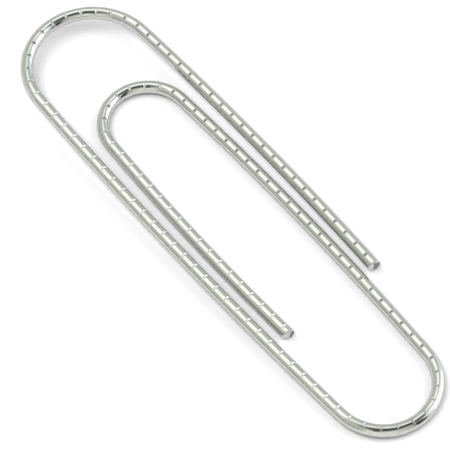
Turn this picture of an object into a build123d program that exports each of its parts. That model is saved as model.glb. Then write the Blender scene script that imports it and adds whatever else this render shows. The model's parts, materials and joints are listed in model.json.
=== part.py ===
"""Large non-skid paper clip: one grooved steel wire bent into two nested loops.

The wire runs from a cut end along the outer leg, round the outer bend, back along the spine leg,
round the end bend, along the tongue leg, round the inner bend and along the tip leg to its other
cut end. It flexes by twisting in its three bends, so it is divided there, at the apex of each
bend, and where the bends run into the legs.
"""
import os
from math import cos, radians, sin

from build123d import *

# Driving dimensions, in millimetres and degrees
overall_length = 47.6        # over the wire, from outer bend to end bend
wire_diameter = 1.04
inner_bend_radius = 3.59     # to the centre of the wire
tip_gap = 0.54               # between spine leg and tip leg, were the legs straight
outer_gap = 0.88             # between tongue leg and outer leg, were the legs straight
mouth_depth = 8.4            # from outer bend to inner bend
outer_leg_setback = 12.5     # from the apex of the end bend back to the cut end
tip_leg_setback = 12.1       # from the apex of the end bend back to the cut end

# Each leg bows outwards: this is its lean from the long axis where it meets its two neighbours
outer_leg_lean_at_cut = 2.5
outer_leg_lean_at_bend = 2.7
spine_lean_at_outer_bend = 2.7
spine_lean_at_end_bend = 2.7
tongue_lean_at_end_bend = 3.8
tongue_lean_at_inner_bend = 2.0
tip_lean_at_inner_bend = 4.0
tip_lean_at_cut = 1.6
leg_runs = 3                 # straight runs that make up the bow of a leg

tongue_set = 1.25            # the outer loop rises from the tongue by this angle
cut_edge_break = 0.04        # rolled-over rim of the sheared ends

# Grip grooves rolled across the upper side of the legs, at one pitch along the whole wire
groove_pitch = 1.287
groove_width = 0.2
groove_depth = 0.07
groove_lean = 14             # from straight up towards the inside of the bends
groove_start = 1.1           # from the outer leg's cut end to the first groove
groove_end_margin = 0.5      # least wire left beyond the last groove

# Sizes that follow from them
wire_radius = wire_diameter / 2
end_bend_radius = inner_bend_radius + (wire_diameter + tip_gap) / 2
outer_bend_radius = end_bend_radius + (wire_diameter + outer_gap) / 2
loop_length = overall_length - wire_diameter
tongue_length = loop_length - mouth_depth


def bend_reach(radius, lean):
    """Length along the clip from a bend's apex to its leg."""
    return radius * (1 - sin(radians(lean)))


def leg_path(start, main_direction, reach, first_lean, second_lean):
    """Centre line of a leg that turns evenly from one lean to the other, its end runs half as long."""
    turn_step = (first_lean + second_lean) / (leg_runs - 1)
    leans = [turn_step * number - first_lean for number in range(leg_runs)]
    shares = [0.5] + [1] * (leg_runs - 2) + [0.5]
    run_length = reach / sum(share * cos(radians(lean)) for share, lean in zip(shares, leans))
    points = [start]
    for share, lean in zip(shares, leans):
        run = Vector(share * run_length, 0, 0).rotate(Axis.Z, main_direction + lean)
        points.append(points[-1] + run)
    return Polyline(*points)


def half_bend(last_path, radius, lean):
    """Centre line of half a bend, from its leg to its apex or from its apex to its leg."""
    return JernArc(last_path @ 1, last_path % 1, radius, 90 - lean)


# Centre line of the wire from cut end to cut end: each stretch starts where the last one ends
towards_outer_bend, towards_end_bend = 180, 0
outer_loop = {}
outer_loop["outer_leg"] = leg_path(
    Vector(0, 0, 0), towards_outer_bend,
    loop_length - bend_reach(outer_bend_radius, outer_leg_lean_at_bend) - outer_leg_setback,
    outer_leg_lean_at_cut, outer_leg_lean_at_bend)
outer_loop["outer_bend_leg_half"] = half_bend(
    outer_loop["outer_leg"], outer_bend_radius, outer_leg_lean_at_bend)
outer_loop["outer_bend_spine_half"] = half_bend(
    outer_loop["outer_bend_leg_half"], outer_bend_radius, spine_lean_at_outer_bend)
outer_loop["spine_leg"] = leg_path(
    outer_loop["outer_bend_spine_half"] @ 1, towards_end_bend,
    loop_length - bend_reach(outer_bend_radius, spine_lean_at_outer_bend)
    - bend_reach(end_bend_radius, spine_lean_at_end_bend),
    spine_lean_at_outer_bend, spine_lean_at_end_bend)
outer_loop["end_bend_spine_half"] = half_bend(
    outer_loop["spine_leg"], end_bend_radius, spine_lean_at_end_bend)

tongue = {}
tongue["end_bend_tongue_half"] = half_bend(
    outer_loop["end_bend_spine_half"], end_bend_radius, tongue_lean_at_end_bend)
tongue["tongue_leg"] = leg_path(
    tongue["end_bend_tongue_half"] @ 1, towards_outer_bend,
    tongue_length - bend_reach(end_bend_radius, tongue_lean_at_end_bend)
    - bend_reach(inner_bend_radius, tongue_lean_at_inner_bend),
    tongue_lean_at_end_bend, tongue_lean_at_inner_bend)
tongue["inner_bend_tongue_half"] = half_bend(
    tongue["tongue_leg"], inner_bend_radius, tongue_lean_at_inner_bend)
tongue["inner_bend_tip_half"] = half_bend(
    tongue["inner_bend_tongue_half"], inner_bend_radius, tip_lean_at_inner_bend)
tongue["tip_leg"] = leg_path(
    tongue["inner_bend_tip_half"] @ 1, towards_end_bend,
    tongue_length - bend_reach(inner_bend_radius, tip_lean_at_inner_bend) - tip_leg_setback,
    tip_lean_at_inner_bend, tip_lean_at_cut)
centre_line = outer_loop | tongue

wire_length = sum(path.length for path in centre_line.values())
groove_count = int((wire_length - groove_start - groove_end_margin) / groove_pitch) + 1
groove_places = [groove_start + groove_pitch * number for number in range(groove_count)]


def plain_wire(path):
    """Round wire along one stretch of the centre line."""
    profile = Plane(path @ 0, x_dir=(0, 0, -1), z_dir=path % 0) * Circle(wire_radius)
    return sweep(profile, path=path, transition=Transition.RIGHT)


def broken_rim(wire, cut_point):
    """Take the sharp rim off a sheared end."""
    cut_face = wire.faces().filter_by(GeomType.PLANE).sort_by_distance(cut_point)[0]
    return chamfer(cut_face.edges(), cut_edge_break)


def groove_cutters(leg, leg_start):
    """Bars square to the wire that cut the grooves which lie on one leg."""
    cutters = []
    for place in groove_places:
        centre = place - leg_start
        if groove_width < centre < leg.length - groove_width:
            share = centre / leg.length
            across_wire = Plane(leg @ share, x_dir=(0, 0, 1), z_dir=leg % share)
            over_groove = across_wire * Rot(0, 0, -groove_lean) * Pos(wire_radius, 0)
            profile = over_groove * Rectangle(2 * groove_depth, wire_diameter)
            cutters.append(extrude(profile, groove_width / 2, both=True))
    return cutters


solids = {}
path_start = 0
for name, path in centre_line.items():
    wire = plain_wire(path)
    if name == "outer_leg":
        wire = broken_rim(wire, path @ 0)
    if name == "tip_leg":
        wire = broken_rim(wire, path @ 1)
    if isinstance(path, Polyline):
        wire -= groove_cutters(path, path_start)
    solids[name] = wire
    path_start += path.length

# The outer loop is set up out of the tongue's plane, about the wire at the end bend's apex
end_apex = tongue["end_bend_tongue_half"] @ 0
set_axis = Axis(end_apex, (0, 1, 0))
for name in outer_loop:
    solids[name] = solids[name].rotate(set_axis, tongue_set)

# Origin under the middle of the clip, on the surface that it lies on
outer_apex = Vertex(*(outer_loop["outer_bend_spine_half"] @ 0)).rotate(set_axis, tongue_set)
inner_apex = tongue["inner_bend_tip_half"] @ 0
box = Compound(children=[Part(solid.wrapped) for solid in solids.values()]).bounding_box()
to_origin = Vector(-box.center().X, -box.center().Y, -box.min.Z)

os.makedirs("parts", exist_ok=True)
for name, solid in solids.items():
    placed = Pos(to_origin) * solid
    placed.label = name
    export_step(placed, f"parts/{name}.step")

print(f"wire {wire_length:.2f} mm long, size {box.size}")
for name, apex in (("outer", Vector(outer_apex)), ("end", end_apex), ("inner", inner_apex)):
    print(f"{name} bend apex at {apex + to_origin}")
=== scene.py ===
import json
from math import atan2, ceil, cos, hypot, pi, radians, sin

import bmesh
import bpy
from mathutils import Matrix, Vector


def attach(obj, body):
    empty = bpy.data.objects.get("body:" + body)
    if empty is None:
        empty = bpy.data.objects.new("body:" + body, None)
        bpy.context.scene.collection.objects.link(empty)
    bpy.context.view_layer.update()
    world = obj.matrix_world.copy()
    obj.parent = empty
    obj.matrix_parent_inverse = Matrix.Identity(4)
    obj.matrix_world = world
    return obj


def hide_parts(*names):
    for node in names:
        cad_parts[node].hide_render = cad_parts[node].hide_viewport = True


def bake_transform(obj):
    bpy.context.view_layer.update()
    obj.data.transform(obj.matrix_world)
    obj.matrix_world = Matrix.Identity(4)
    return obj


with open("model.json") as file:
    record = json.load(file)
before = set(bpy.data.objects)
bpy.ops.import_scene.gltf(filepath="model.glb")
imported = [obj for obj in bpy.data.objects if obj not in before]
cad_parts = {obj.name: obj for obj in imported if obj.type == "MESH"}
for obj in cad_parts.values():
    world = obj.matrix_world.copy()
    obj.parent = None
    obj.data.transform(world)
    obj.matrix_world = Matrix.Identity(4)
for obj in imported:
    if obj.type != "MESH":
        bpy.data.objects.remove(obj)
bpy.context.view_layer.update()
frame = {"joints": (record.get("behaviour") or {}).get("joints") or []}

# The end bend, round which the wire turns back into the clip's own middle. The whole clip is one drawn
# steel wire with a bright plating. While it is straight a roller presses shallow grip grooves across it.
# It is then bent round pegs, always to the same side, so the grooves lean to the inside of every bend.
mm = 0.001
wire_radius = 0.52 * mm
wire_sides = 64
groove_pitch = 1.287 * mm
groove_past_end_apex = 0.651 * mm
groove_depth = 0.06 * mm
groove_half_width = 0.14 * mm
groove_flare = 1.5
groove_rim = 0.02 * mm
groove_steps = 4
groove_lean = radians(14)
longest_ring_gap = 0.55 * mm
widest_ring_turn = radians(4)
crisp_edge_angle = radians(40)
up = Vector((0, 0, 1))

apexes = {joint["child"]: Vector(joint["pos_m"]) for joint in frame["joints"]}
end_apex = apexes["spine"]
outer_apex = apexes["outer_leg"]
inner_apex = apexes["tip"]
outer_loop_rise = atan2(outer_apex.z - end_apex.z, end_apex.x - outer_apex.x)

end_bend_radius = 4.38 * mm
spine_lean_at_end_bend = radians(2.7)
tongue_lean_at_end_bend = radians(3.8)


def left_of(heading):
    """Level direction to the left of a heading."""
    return Vector((-sin(heading), cos(heading), 0))


def turned(point, pivot, turn):
    """A point turned to the left round a pivot."""
    return pivot + Matrix.Rotation(turn, 3, "Z") @ (point - pivot)


def ring_places(length, travelled, ring_gap):
    """Distances along a piece where it gets a ring, each with its share of the groove's depth."""
    marks = [(0, 0)]
    groove = ceil((travelled - groove_past_end_apex) / groove_pitch)
    centre = groove_past_end_apex + groove * groove_pitch - travelled
    while centre < length:
        marks.append((centre - groove_half_width - groove_rim, 0))
        marks += [(centre + groove_half_width * step / groove_steps,
                   (1 - abs(step) / groove_steps) ** groove_flare)
                  for step in range(-groove_steps, groove_steps + 1)]
        marks.append((centre + groove_half_width + groove_rim, 0))
        centre += groove_pitch
    marks.append((length, 0))
    places = [marks[0]]
    for place, share in marks[1:]:
        last = places[-1][0]
        steps = ceil((place - last) / ring_gap)
        places += [(last + (place - last) * step / steps, 0) for step in range(1, steps)]
        places.append((place, share))
    return places


def drawn_wire(start, heading, radius, turn, travelled):
    """A grooved wire round a pivot on its left, each point marked with its place on the straight wire."""
    wire = bmesh.new()
    straight_place = wire.verts.layers.float_vector.new("straight_place")
    groove_share = wire.verts.layers.float.new("groove_share")
    pivot = start + radius * left_of(heading)
    across = Matrix((left_of(heading), up, left_of(heading - pi / 2))).transposed().to_4x4()
    bmesh.ops.create_circle(wire, radius=wire_radius, segments=wire_sides,
                            matrix=Matrix.Translation(start) @ across)
    ring = wire.verts[:] + wire.edges[:]
    last_place = 0
    pressed = []
    ring_gap = min(longest_ring_gap, radius * widest_ring_turn)
    for place, share in ring_places(radius * turn, travelled, ring_gap):
        if place > 0:
            step = bmesh.ops.spin(wire, geom=ring, cent=pivot, axis=up, steps=1,
                                  angle=(place - last_place) / radius)
            ring = step["geom_last"]
        last_place = place
        centre = turned(start, pivot, place / radius)
        left = left_of(heading + place / radius)
        for vert in [part for part in ring if isinstance(part, bmesh.types.BMVert)]:
            offset = vert.co - centre
            vert[straight_place] = (travelled + place, offset.dot(left), offset.z)
            vert[groove_share] = share
            if share:
                pressed.append((vert, centre, cos(groove_lean) * up + sin(groove_lean) * left, share))
    for vert, centre, groove_side, share in pressed:
        proud = (vert.co - centre).dot(groove_side) - (wire_radius - share * groove_depth)
        vert.co -= max(proud, 0) * groove_side
    bmesh.ops.holes_fill(wire, edges=[edge for edge in wire.edges if edge.is_boundary], sides=wire_sides)
    bmesh.ops.recalc_face_normals(wire, faces=wire.faces)
    return wire


def finished(name, mesh, *materials):
    """The mesh as an object, smooth but for its sharp edges."""
    data = bpy.data.meshes.new(name)
    mesh.to_mesh(data)
    mesh.free()
    data.shade_smooth()
    data.set_sharp_from_angle(angle=crisp_edge_angle)
    for material in materials:
        data.materials.append(material)
    piece = bpy.data.objects.new(name, data)
    bpy.context.scene.collection.objects.link(piece)
    return piece


bright_plating = bpy.data.materials.new("bright_plating")
bright_plating.use_nodes = True
nodes = bright_plating.node_tree.nodes
links = bright_plating.node_tree.links
plating = nodes["Principled BSDF"]
plating.inputs["Metallic"].default_value = 1
plating.inputs["Specular Tint"].default_value = (0.72, 0.72, 0.72, 1)
straight = nodes.new("ShaderNodeAttribute")
straight.attribute_name = "straight_place"
drawing_stretch = nodes.new("ShaderNodeMapping")
drawing_stretch.inputs["Scale"].default_value = (300, 26000, 26000)
links.new(straight.outputs["Vector"], drawing_stretch.inputs["Vector"])
drawing_lines = nodes.new("ShaderNodeTexNoise")
drawing_lines.inputs["Scale"].default_value = 1
drawing_lines.inputs["Detail"].default_value = 3
links.new(drawing_stretch.outputs["Vector"], drawing_lines.inputs["Vector"])
plating_cloud = nodes.new("ShaderNodeTexNoise")
plating_cloud.inputs["Scale"].default_value = 1400
plating_cloud.inputs["Detail"].default_value = 4
links.new(straight.outputs["Vector"], plating_cloud.inputs["Vector"])
plating_colour = nodes.new("ShaderNodeValToRGB")
plating_colour.color_ramp.elements[0].position = 0.35
plating_colour.color_ramp.elements[0].color = (0.54, 0.555, 0.515, 1)
plating_colour.color_ramp.elements[1].position = 0.65
plating_colour.color_ramp.elements[1].color = (0.58, 0.59, 0.555, 1)
links.new(plating_cloud.outputs["Fac"], plating_colour.inputs["Fac"])
links.new(plating_colour.outputs["Color"], plating.inputs["Base Color"])
shine = nodes.new("ShaderNodeMapRange")
shine.inputs["From Min"].default_value = 0.3
shine.inputs["From Max"].default_value = 0.7
shine.inputs["To Min"].default_value = 0.10
shine.inputs["To Max"].default_value = 0.18
links.new(drawing_lines.outputs["Fac"], shine.inputs["Value"])
pressed_in = nodes.new("ShaderNodeAttribute")
pressed_in.attribute_name = "groove_share"
dulled = nodes.new("ShaderNodeMapRange")
dulled.inputs["From Max"].default_value = 0.4
dulled.inputs["To Max"].default_value = 0.2
links.new(pressed_in.outputs["Fac"], dulled.inputs["Value"])
roughness = nodes.new("ShaderNodeMath")
roughness.operation = "ADD"
links.new(shine.outputs["Result"], roughness.inputs[0])
links.new(dulled.outputs["Result"], roughness.inputs[1])
links.new(roughness.outputs["Value"], plating.inputs["Roughness"])
drawing_relief = nodes.new("ShaderNodeBump")
drawing_relief.inputs["Strength"].default_value = 0.15
drawing_relief.inputs["Distance"].default_value = 0.002 * mm
links.new(drawing_lines.outputs["Fac"], drawing_relief.inputs["Height"])
links.new(drawing_relief.outputs["Normal"], plating.inputs["Normal"])

end_pivot = end_apex - Vector((end_bend_radius, 0, 0))
end_bend_start = turned(end_apex, end_pivot, spine_lean_at_end_bend - pi / 2)
end_bend_turn = pi - spine_lean_at_end_bend - tongue_lean_at_end_bend
end_bend_before_apex = end_bend_radius * (pi / 2 - spine_lean_at_end_bend)
end_bend_mesh = drawn_wire(end_bend_start, spine_lean_at_end_bend, end_bend_radius, end_bend_turn,
                           -end_bend_before_apex)
bmesh.ops.rotate(end_bend_mesh, cent=end_apex, matrix=Matrix.Rotation(outer_loop_rise, 3, "Y"),
                 verts=[vert for vert in end_bend_mesh.verts if vert.co.y < end_apex.y])
end_bend = finished("end_bend", end_bend_mesh, bright_plating)
tongue_start = turned(end_apex, end_pivot, pi / 2 - tongue_lean_at_end_bend)
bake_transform(end_bend)
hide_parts("end_bend_spine_half", "end_bend_tongue_half")

# The tongue leg, the middle run of wire that goes behind the paper. It springs outwards a little
# after bending, so it is a very shallow bow and not a straight line.
tongue_lean_at_inner_bend = radians(2.0)
inner_bend_radius = 3.59 * mm


def bend_reach(radius, lean):
    """Length along the clip from a bend's apex to its leg."""
    return radius * (1 - sin(lean))


def bow_radius(reach, first_lean, second_lean):
    """Radius of the bow that takes a leg of this reach from one lean to the other."""
    return reach / (sin(first_lean) + sin(second_lean))


def arc_end(start, heading, radius, turn):
    """Where a wire that turns left from its start comes to, or came from if the turn is negative."""
    return turned(start, start + radius * left_of(heading), turn)


tongue_heading = pi - tongue_lean_at_end_bend
tongue_travelled = end_bend_radius * (pi / 2 - tongue_lean_at_end_bend)
tongue_reach = tongue_start.x - inner_apex.x - bend_reach(inner_bend_radius, tongue_lean_at_inner_bend)
tongue_radius = bow_radius(tongue_reach, tongue_lean_at_end_bend, tongue_lean_at_inner_bend)
tongue_turn = tongue_lean_at_end_bend + tongue_lean_at_inner_bend
tongue_mesh = drawn_wire(tongue_start, tongue_heading, tongue_radius, tongue_turn, tongue_travelled)
tongue_leg = finished("tongue_leg_wire", tongue_mesh, bright_plating)
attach(tongue_leg, "tongue")
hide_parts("tongue_leg")

# The inner bend, the tightest of the three. It makes the rounded end of the tongue that is pushed
# over the edge of the paper, and the wire twists here when the tip is lifted.
tip_lean_at_inner_bend = radians(4.0)
inner_bend_start = arc_end(tongue_start, tongue_heading, tongue_radius, tongue_turn)
inner_bend_heading = tongue_heading + tongue_turn
inner_bend_travelled = tongue_travelled + tongue_radius * tongue_turn
inner_bend_turn = pi - tongue_lean_at_inner_bend - tip_lean_at_inner_bend
inner_bend_mesh = drawn_wire(inner_bend_start, inner_bend_heading, inner_bend_radius, inner_bend_turn,
                             inner_bend_travelled)
inner_bend = finished("inner_bend", inner_bend_mesh, bright_plating)
tip_start = arc_end(inner_bend_start, inner_bend_heading, inner_bend_radius, inner_bend_turn)
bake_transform(inner_bend)
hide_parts("inner_bend_tongue_half", "inner_bend_tip_half")

# The tip leg, the short run inside the clip. Its end was sheared off: the blade drags the plated skin
# round on one side, and on the other the bare steel breaks off dull and dark, with a small burr.
tip_lean_at_cut = radians(1.6)
tip_cut_setback = 12.1 * mm
tip_skin_reach = -0.15 * wire_radius
cut_edge_break = 0.04 * mm
cut_zone = 2 * cut_edge_break
cut_face_rings = 7
cut_ring_width = wire_radius / 9
cut_drag = 0.2 * mm
drag_starts = -0.3
cut_burr = 0.05 * mm
burr_starts = -0.6


def sheared(wire, cut_point, outward, skin_reach):
    """Round the rim of a cut end, drag the blade's side back, raise a burr on the other side, and give
    the face the second material as far as the dragged skin."""
    cut_face = min(wire.faces, key=lambda face: (face.calc_center_median() - cut_point).length)
    bmesh.ops.bevel(wire, geom=cut_face.edges[:], offset=cut_edge_break, affect="EDGES", segments=3,
                    profile=0.5, material=-1)
    cut_face = min(wire.faces, key=lambda face: (face.calc_center_median() - cut_point).length)
    for _ in range(cut_face_rings):
        bmesh.ops.inset_individual(wire, faces=[cut_face], thickness=cut_ring_width)
    blade_side = outward.cross(up)
    for vert in wire.verts:
        offset = vert.co - cut_point
        if offset.dot(outward) > -cut_zone:
            across = offset.dot(blade_side) / wire_radius
            drag = cut_drag * max(across - drag_starts, 0) ** 2
            burr = cut_burr * max(burr_starts - across, 0) ** 2
            vert.co -= (drag - burr) * outward
    for face in wire.faces:
        offset = face.calc_center_median() - cut_point
        in_rim = (offset - offset.dot(outward) * outward).length < wire_radius - cut_edge_break
        at_end = abs(offset.dot(outward)) < wire_radius
        if in_rim and at_end and offset.dot(blade_side) < skin_reach:
            face.material_index = 1


sheared_steel = bpy.data.materials.new("sheared_steel")
sheared_steel.use_nodes = True
nodes = sheared_steel.node_tree.nodes
links = sheared_steel.node_tree.links
steel = nodes["Principled BSDF"]
steel.inputs["Metallic"].default_value = 1
steel.inputs["Roughness"].default_value = 0.45
fracture = nodes.new("ShaderNodeTexNoise")
fracture.inputs["Scale"].default_value = 9000
fracture.inputs["Detail"].default_value = 3
steel_place = nodes.new("ShaderNodeTexCoord")
links.new(steel_place.outputs["Object"], fracture.inputs["Vector"])
steel_colour = nodes.new("ShaderNodeValToRGB")
steel_colour.color_ramp.elements[0].position = 0.35
steel_colour.color_ramp.elements[0].color = (0.15, 0.134, 0.128, 1)
steel_colour.color_ramp.elements[1].position = 0.65
steel_colour.color_ramp.elements[1].color = (0.31, 0.28, 0.268, 1)
links.new(fracture.outputs["Fac"], steel_colour.inputs["Fac"])
links.new(steel_colour.outputs["Color"], steel.inputs["Base Color"])
fracture_relief = nodes.new("ShaderNodeBump")
fracture_relief.inputs["Strength"].default_value = 0.6
fracture_relief.inputs["Distance"].default_value = 0.01 * mm
links.new(fracture.outputs["Fac"], fracture_relief.inputs["Height"])
links.new(fracture_relief.outputs["Normal"], steel.inputs["Normal"])

tip_heading = inner_bend_heading + inner_bend_turn
tip_travelled = inner_bend_travelled + inner_bend_radius * inner_bend_turn
tip_reach = end_apex.x - tip_cut_setback - tip_start.x
tip_radius = bow_radius(tip_reach, tip_lean_at_inner_bend, tip_lean_at_cut)
tip_turn = tip_lean_at_inner_bend + tip_lean_at_cut
tip_mesh = drawn_wire(tip_start, tip_heading, tip_radius, tip_turn, tip_travelled)
sheared(tip_mesh, arc_end(tip_start, tip_heading, tip_radius, tip_turn),
        Matrix.Rotation(tip_heading + tip_turn, 3, "Z") @ Vector((1, 0, 0)), tip_skin_reach)
tip_leg = finished("tip_leg_wire", tip_mesh, bright_plating, sheared_steel)
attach(tip_leg, "tip")
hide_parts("tip_leg")

# The spine leg, the longest run, which joins the two ends of the clip along its back. The outer loop
# that it belongs to is set up from the tongue by a small angle, so the clip starts a little open.
spine_lean_at_outer_bend = radians(2.7)
outer_bend_radius = 5.34 * mm


def set_up(wire):
    """Turn part of the outer loop up from the tongue about the end bend's apex."""
    bmesh.ops.rotate(wire, cent=end_apex, matrix=Matrix.Rotation(outer_loop_rise, 3, "Y"),
                     verts=wire.verts)


loop_reach = hypot(end_apex.x - outer_apex.x, outer_apex.z - end_apex.z)
spine_heading = -spine_lean_at_outer_bend
spine_reach = (loop_reach - bend_reach(outer_bend_radius, spine_lean_at_outer_bend)
               - bend_reach(end_bend_radius, spine_lean_at_end_bend))
spine_radius = bow_radius(spine_reach, spine_lean_at_outer_bend, spine_lean_at_end_bend)
spine_turn = spine_lean_at_outer_bend + spine_lean_at_end_bend
spine_start = arc_end(end_bend_start, spine_lean_at_end_bend, spine_radius, -spine_turn)
spine_travelled = -end_bend_before_apex - spine_radius * spine_turn
spine_mesh = drawn_wire(spine_start, spine_heading, spine_radius, spine_turn, spine_travelled)
set_up(spine_mesh)
spine_leg = finished("spine_leg_wire", spine_mesh, bright_plating)
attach(spine_leg, "spine")
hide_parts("spine_leg")

# The outer bend, the widest, which makes the rounded end that lies in front of the paper. The wire
# twists here when the outer leg is lifted.
outer_leg_lean_at_bend = radians(2.7)
outer_bend_turn = pi - outer_leg_lean_at_bend - spine_lean_at_outer_bend
outer_bend_heading = spine_heading - outer_bend_turn
outer_bend_start = arc_end(spine_start, spine_heading, outer_bend_radius, -outer_bend_turn)
outer_bend_travelled = spine_travelled - outer_bend_radius * outer_bend_turn
outer_bend_mesh = drawn_wire(outer_bend_start, outer_bend_heading, outer_bend_radius, outer_bend_turn,
                             outer_bend_travelled)
set_up(outer_bend_mesh)
outer_bend = finished("outer_bend", outer_bend_mesh, bright_plating)
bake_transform(outer_bend)
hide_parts("outer_bend_leg_half", "outer_bend_spine_half")

# The outer leg, the run on the clip's open side that presses on the front of the paper. It ends
# in the wire's other sheared face.
outer_leg_lean_at_cut = radians(2.5)
outer_cut_setback = 12.5 * mm
outer_skin_reach = 0.2 * wire_radius
outer_leg_reach = loop_reach - bend_reach(outer_bend_radius, outer_leg_lean_at_bend) - outer_cut_setback
outer_leg_radius = bow_radius(outer_leg_reach, outer_leg_lean_at_cut, outer_leg_lean_at_bend)
outer_leg_turn = outer_leg_lean_at_cut + outer_leg_lean_at_bend
outer_leg_start = arc_end(outer_bend_start, outer_bend_heading, outer_leg_radius, -outer_leg_turn)
outer_leg_travelled = outer_bend_travelled - outer_leg_radius * outer_leg_turn
outer_leg_mesh = drawn_wire(outer_leg_start, outer_bend_heading - outer_leg_turn, outer_leg_radius,
                            outer_leg_turn, outer_leg_travelled)
sheared(outer_leg_mesh, outer_leg_start,
        Matrix.Rotation(outer_bend_heading - outer_leg_turn, 3, "Z") @ Vector((-1, 0, 0)),
        outer_skin_reach)
set_up(outer_leg_mesh)
outer_leg = finished("outer_leg_wire", outer_leg_mesh, bright_plating, sheared_steel)
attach(outer_leg, "outer_leg")
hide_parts("outer_leg")

# The white sheet that the clip lies on, plain and dull. It isn't part of the clip, and it reaches far
# past the picture on every side.
sheet_half_width = 2
sheet_white = bpy.data.materials.new("sheet_white")
sheet_white.use_nodes = True
paper = sheet_white.node_tree.nodes["Principled BSDF"]
paper.inputs["Base Color"].default_value = (0.51, 0.5, 0.51, 1)
paper.inputs["Roughness"].default_value = 0.9
paper.inputs["Specular IOR Level"].default_value = 0.1
sheet_mesh = bmesh.new()
bmesh.ops.create_grid(sheet_mesh, x_segments=1, y_segments=1, size=sheet_half_width)
sheet_data = bpy.data.meshes.new("sheet")
sheet_mesh.to_mesh(sheet_data)
sheet_mesh.free()
sheet_data.materials.append(sheet_white)
sheet = bpy.data.objects.new("sheet", sheet_data)
bpy.context.scene.collection.objects.link(sheet)

# Soft studio light in a grey room. The plating mirrors a wide softbox overhead, a tall one beside the clip
# with a bluish glow round it, and plain cards. A long key above the legs and a key in the place of the
# tall softbox light the sheet and throw the soft shadows, and the plating doesn't mirror them.
white = (1, 1, 1)
glow_blue = (0.75, 0.92, 1.25)
side_place = (0.169, 0.362, 0.297)
side_width = 0.323
side_height = 0.593
card_roughness = 0.9


def softbox(name, place, aim, width, height, radiance, colour=white, mirrored=True):
    """A rectangle of even light that the camera doesn't see."""
    light = bpy.data.lights.new(name, "AREA")
    light.shape = "RECTANGLE"
    light.color = colour
    light.size = width
    light.size_y = height
    light.energy = radiance * pi * width * height
    lamp = bpy.data.objects.new(name, light)
    lamp.location = place
    lamp.rotation_euler = (Vector(aim) - Vector(place)).to_track_quat("-Z", "Y").to_euler()
    lamp.visible_camera = False
    lamp.visible_glossy = mirrored
    bpy.context.scene.collection.objects.link(lamp)


def card(name, place, aim, width, height, colour):
    """A plain, dull board that the camera doesn't see."""
    mesh = bmesh.new()
    facing = (Vector(aim) - Vector(place)).to_track_quat("Z", "Y").to_matrix().to_4x4()
    shape = Matrix.Translation(place) @ facing @ Matrix.Diagonal((width, height, 1, 1))
    bmesh.ops.create_grid(mesh, x_segments=1, y_segments=1, size=0.5, matrix=shape)
    data = bpy.data.meshes.new(name)
    mesh.to_mesh(data)
    mesh.free()
    board = bpy.data.materials.new(name)
    board.use_nodes = True
    board_surface = board.node_tree.nodes["Principled BSDF"]
    board_surface.inputs["Base Color"].default_value = colour
    board_surface.inputs["Roughness"].default_value = card_roughness
    data.materials.append(board)
    piece = bpy.data.objects.new(name, data)
    piece.visible_camera = False
    bpy.context.scene.collection.objects.link(piece)


softbox("overhead_softbox", place=(-0.2225, -0.033, 0.5), aim=(-0.2225, -0.033, 0),
        width=0.265, height=0.535, radiance=0.95)
softbox("side_softbox", place=side_place, aim=(0, 0, side_place[2]),
        width=side_width, height=side_height, radiance=1.1)
softbox("side_glow", place=(0.19, 0.408, 0.375), aim=(0, 0, 0.375),
        width=0.63, height=0.75, radiance=0.4, colour=glow_blue)
softbox("key_light", place=(-0.12, -0.2, 0.5), aim=(-0.12, -0.2, 0),
        width=0.9, height=0.26, radiance=8, mirrored=False)
softbox("side_key", place=side_place, aim=(0, 0, 0),
        width=side_width, height=side_height, radiance=3, mirrored=False)
card("black_side_card", place=(0.378, 0.13, 0.25), aim=(0, 0, 0.25),
     width=0.127, height=0.5, colour=(0.04, 0.04, 0.04, 1))
card("dark_camera_card", place=(0.165, 0.014, 0.577), aim=(0, 0, 0),
     width=0.52, height=0.36, colour=(0.1, 0.1, 0.1, 1))
card("camera_body_card", place=(0.208, -0.201, 0.345), aim=(0, 0, 0),
     width=0.06, height=0.2, colour=(0.05, 0.05, 0.05, 1))
card("grey_front_card", place=(-0.061, -0.496, 0.18), aim=(0, 0, 0.18),
     width=0.51, height=0.36, colour=(0.36, 0.36, 0.32, 1))
card("dark_low_card", place=(-0.0605, -0.49, 0.055), aim=(0, 0, 0.055),
     width=0.51, height=0.11, colour=(0.19, 0.19, 0.165, 1))
card("warm_card", place=(0.433, -0.25, 0.17), aim=(0, 0, 0.17),
     width=0.84, height=0.35, colour=(0.7, 0.69, 0.63, 1))

room = bpy.data.worlds.new("grey_room")
room.use_nodes = True
room.node_tree.nodes["Background"].inputs["Color"].default_value = (0.78, 0.80, 0.77, 1)
bpy.context.scene.world = room
bpy.context.scene.view_settings.view_transform = "Standard"

# The camera, a long lens looking down on the clip from the corner between the end bend and the spine.
camera_data = bpy.data.cameras.new("camera")
camera_data.lens = 312
camera_data.sensor_width = 36
camera_data.clip_start = 0.01
camera = bpy.data.objects.new("camera", camera_data)
looks_at = Vector((-0.129 * mm, -0.851 * mm, 0))
camera_turn = radians(50.27)
camera_height = radians(57.48)
camera_distance = 309.46 * mm
back = Vector((sin(camera_turn) * cos(camera_height), -cos(camera_turn) * cos(camera_height),
               sin(camera_height)))
camera.location = looks_at + camera_distance * back
camera.rotation_euler = back.to_track_quat("Z", "Y").to_euler()
bpy.context.scene.collection.objects.link(camera)
bpy.context.scene.camera = camera
